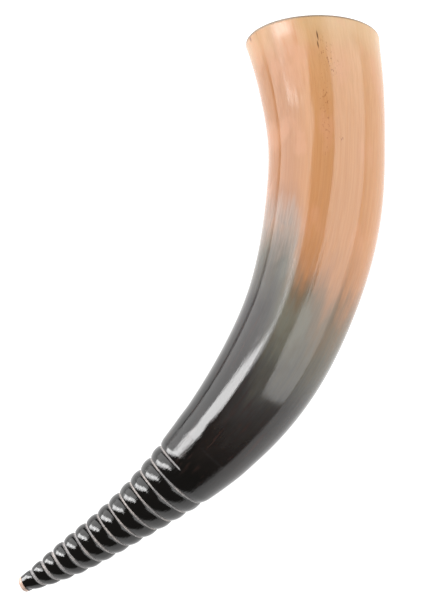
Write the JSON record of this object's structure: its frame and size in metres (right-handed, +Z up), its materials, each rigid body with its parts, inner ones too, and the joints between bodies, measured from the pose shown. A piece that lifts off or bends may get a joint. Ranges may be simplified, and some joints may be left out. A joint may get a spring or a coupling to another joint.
{
  "type": "shofar",
  "caption": "Curved animal-horn shofar: open hollow bell, polished body, spirally grooved neck and a small drilled mouthpiece, lying on its side.",
  "frame": {"origin": "centre of the bounding box in plan, on the surface that the horn lies on", "axes": "+X along the chord from the tip to the bell, +Z up out of the surface, the inside of the bend towards +Y"},
  "size_m": [0.3949, 0.1422, 0.0801],
  "materials": {
    "polished_horn": "polished horn, peach at the bell, turning grey and then black towards the neck",
    "dark_horn": "polished black horn with pale sawn groove lines",
    "pale_horn": "satin tan horn"
  },
  "bodies": {
    "root": {"horn_shell": "polished_horn", "carved_neck": "dark_horn", "mouthpiece": "pale_horn"}
  },
  "joints": []
}
